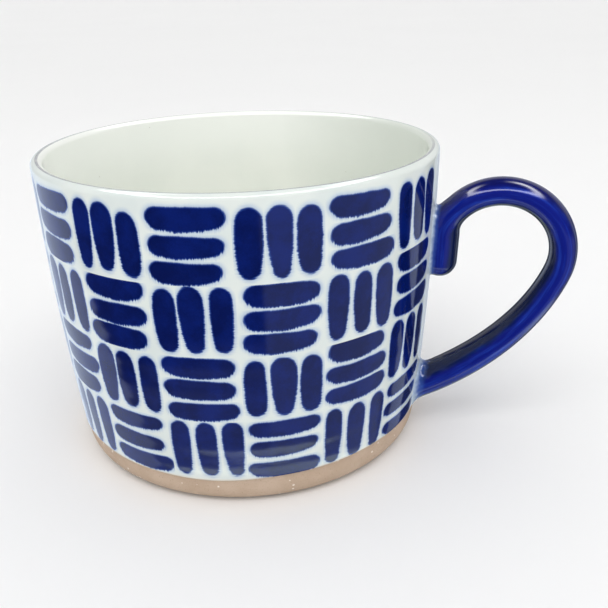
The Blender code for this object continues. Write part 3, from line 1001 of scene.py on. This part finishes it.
# What only gloss sees. Slopes are in degrees above the horizon. A pair is where a thing begins to show
# and where it shows fully. The table is a pale glow close under the cup, and the apron a dimmer one.
mirrored = {
    "sky": 0.08,
    "window": 12.0,
    "windowFoot": (44.0, 51.0),
    "windowHead": (63.0, 55.0),
    "windowStart": (115.0, 150.0),
    "windowEnd": (450.0, 420.0),
    "backdrop": 0.45,
    "backdropHead": (34.0, 20.0),
    "backdropSide": (0.3, 0.7),
    "under": 0.05,
    "underTint": (0.85, 0.97, 1.16, 1),
    "horizon": (-3.0, 1.0),
    "apron": 0.28,
    "apronEdge": (-31.0, -38.0),
    "front": (0.35, 0.1),  # the glow and the apron fade out behind the cup
    "frontBelow": (-48.0, -58.0),
    "table": 2.1,
    "tableBelow": 0.55,
    "tableEdge": (-41.8, -42.8),
    "tableBend": 4.0,
    "tableFade": (-50.0, -58.0),
    "tableTint": (0.86, 1.0, 0.88, 1),
    "seam": 103.0,  # bearings are counted on from here, so that no panel is cut by 360
    "slantFrom": 20.0,  # panels lean below this far under the horizon
}


def makeFloor():
    material, tree, shader = newMaterial("paleFloor", Roughness=studio["floorRoughness"])
    cloud = noise(tree, objectPlace(tree), 0.004, 2.0)
    shade = blendColours(tree, cloud, studio["floorColour"], studio["floorShade"])
    feed(tree, shader["Base Color"], shade)
    radii = (0.02, 0.1, 0.5, 2.0, studio["floorRadius"])
    count = 96
    angles = np.arange(count) * math.tau / count
    points = [(0, 0, 0)]
    faces = []
    for radius in radii:
        points.extend(zip(radius * np.cos(angles), radius * np.sin(angles), np.zeros(count)))
    for i in range(count):
        j = (i + 1) % count
        faces.append([0, 1 + i, 1 + j])
        for ring in range(len(radii) - 1):
            a, b = 1 + ring * count, 1 + (ring + 1) * count
            faces.append([a + i, b + i, b + j, a + j])
    floor = makeObject("floor", points, faces, material)
    floor.location.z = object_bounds()[0].z
    floor.visible_glossy = False  # gloss sees the dimmer surroundings in makeWorld instead


# Pale screens low down, seen only by gloss: bearings from and to, softness, slant and glow.
panels = (
    (116, 181, 3, 1.6, 0.92),
    (297, 383, 2, 0.0, 0.50),
    (395, 411, 1, 0.0, 0.62),
    (429, 456, 2, 0.0, 0.60),
)


def makeWorld():
    look = mirrored
    world = bpy.data.worlds.new("studio")
    world.use_nodes = True
    tree = world.node_tree
    spot = splitPlace(tree, tree.nodes.new("ShaderNodeTexCoord").outputs["Generated"])
    slope = calc(tree, "DEGREES", calc(tree, "ARCSINE", spot[2]))
    bearing = calc(tree, "DEGREES", calc(tree, "ARCTAN2", spot[1], spot[0]))
    bearing = calc(tree, "FLOORED_MODULO", calc(tree, "SUBTRACT", bearing, look["seam"]), 360.0)
    bearing = calc(tree, "ADD", bearing, look["seam"])
    away = calc(tree, "MULTIPLY", spot[1], math.cos(studio["turn"]))
    away = calc(tree, "MULTIPLY_ADD", spot[0], -math.sin(studio["turn"]), away)

    # below the horizon: dark, with the apron, the panels and the table in it
    front = ramp(tree, away, *look["front"])
    front = calc(tree, "MAXIMUM", front, ramp(tree, slope, *look["frontBelow"]))
    apron = ramp(tree, slope, *look["apronEdge"], 0.0, look["apron"])
    under = calc(tree, "MULTIPLY_ADD", front, apron, look["under"])
    dip = calc(tree, "MINIMUM", calc(tree, "ADD", slope, look["slantFrom"]), 0.0)
    for start, end, soft, slant, glow in panels:
        lean = calc(tree, "MULTIPLY_ADD", dip, slant, bearing)
        panel = ramp(tree, lean, end + soft, end - soft)
        panel = calc(tree, "MULTIPLY", panel, ramp(tree, bearing, start - soft, start + soft))
        under = calc(tree, "MAXIMUM", under, calc(tree, "MULTIPLY", panel, glow))
    table = calc(tree, "MULTIPLY_ADD", away, -look["tableBend"], slope)
    table = ramp(tree, table, *look["tableEdge"])
    glow = ramp(tree, slope, *look["tableFade"], look["table"], look["tableBelow"])
    glow = calc(tree, "MULTIPLY", table, calc(tree, "MULTIPLY", front, glow))
    under = calc(tree, "MAXIMUM", under, glow)

    # above it: a dim sky, with a window up in front and a pale backdrop behind
    window = ramp(tree, slope, *look["windowFoot"])
    window = calc(tree, "MULTIPLY", window, ramp(tree, slope, *look["windowHead"]))
    sides = ramp(tree, bearing, *look["windowStart"])
    sides = calc(tree, "MULTIPLY", sides, ramp(tree, bearing, *look["windowEnd"]))
    window = calc(tree, "MULTIPLY", window, sides)
    backdrop = ramp(tree, slope, *look["backdropHead"])
    backdrop = calc(tree, "MULTIPLY", backdrop, ramp(tree, spot[1], *look["backdropSide"]))
    sky = calc(tree, "MULTIPLY_ADD", window, look["window"], look["sky"])
    sky = calc(tree, "MULTIPLY_ADD", backdrop, look["backdrop"], sky)

    glossy = tree.nodes.new("ShaderNodeLightPath").outputs["Is Glossy Ray"]
    above = ramp(tree, slope, *look["horizon"])
    strength = blendValues(tree, glossy, studio["sky"], blendValues(tree, above, under, sky))
    low = blendColours(tree, table, look["underTint"], look["tableTint"])
    tint = blendColours(tree, above, low, (1, 1, 1, 1))
    background = tree.nodes["Background"]
    feed(tree, background.inputs["Color"], blendColours(tree, glossy, (1, 1, 1, 1), tint))
    feed(tree, background.inputs["Strength"], strength)
    bpy.context.scene.world = world


def turnedBy(point, angle):
    c, s = math.cos(angle), math.sin(angle)
    return Vector((point[0] * c - point[1] * s, point[0] * s + point[1] * c, point[2]))


overhead = {
    "name": "overhead",
    "place": (0.0, -0.42, 0.72),
    "target": (0, 0, 0.05),
    "width": 0.75,
    "height": 0.30,
    "power": 1.8,
}


def addSoftbox(name, place, target, width, height, power):
    light = bpy.data.lights.new(name, "AREA")
    light.shape = "RECTANGLE"
    light.size, light.size_y = width, height
    light.energy = power
    lamp = bpy.data.objects.new(name, light)
    lamp.visible_glossy = False
    lamp.location = turnedBy(place, studio["turn"])
    aim = turnedBy(target, studio["turn"]) - lamp.location
    lamp.rotation_euler = aim.to_track_quat("-Z", "Y").to_euler()
    bpy.context.scene.collection.objects.link(lamp)


view = {
    "place": (15.49, -189.16, 113.44),  # in mm, before the camera's turn about the cup
    "down": math.radians(23.47),
    "roll": math.radians(1.49),
    "lens": 44.4,
    "clip": (0.01, 50.0),
}


def makeCamera():
    data = bpy.data.cameras.new("camera")
    data.lens = view["lens"]
    data.sensor_width = 36.0
    data.clip_start, data.clip_end = view["clip"]
    camera = bpy.data.objects.new("camera", data)
    down, roll = view["down"], view["roll"]
    right, up = Vector((1, 0, 0)), Vector((0, math.sin(down), math.cos(down)))
    back = Vector((0, -math.cos(down), math.sin(down)))
    rolledRight = right * math.cos(roll) - up * math.sin(roll)
    rolledUp = up * math.cos(roll) + right * math.sin(roll)
    axes = [turnedBy(axis, studio["turn"]) for axis in (rolledRight, rolledUp, back)]
    matrix = camera.matrix_world.copy()
    for column, axis in enumerate(axes):
        for row in range(3):
            matrix[row][column] = axis[row]
    for row, value in enumerate(turnedBy([v * mm for v in view["place"]], studio["turn"])):
        matrix[row][3] = value
    camera.matrix_world = matrix
    bpy.context.scene.collection.objects.link(camera)
    bpy.context.scene.camera = camera


print("studio")
makeFloor()
makeWorld()
addSoftbox(**overhead)
makeCamera()
bpy.context.scene.view_settings.view_transform = "Standard"
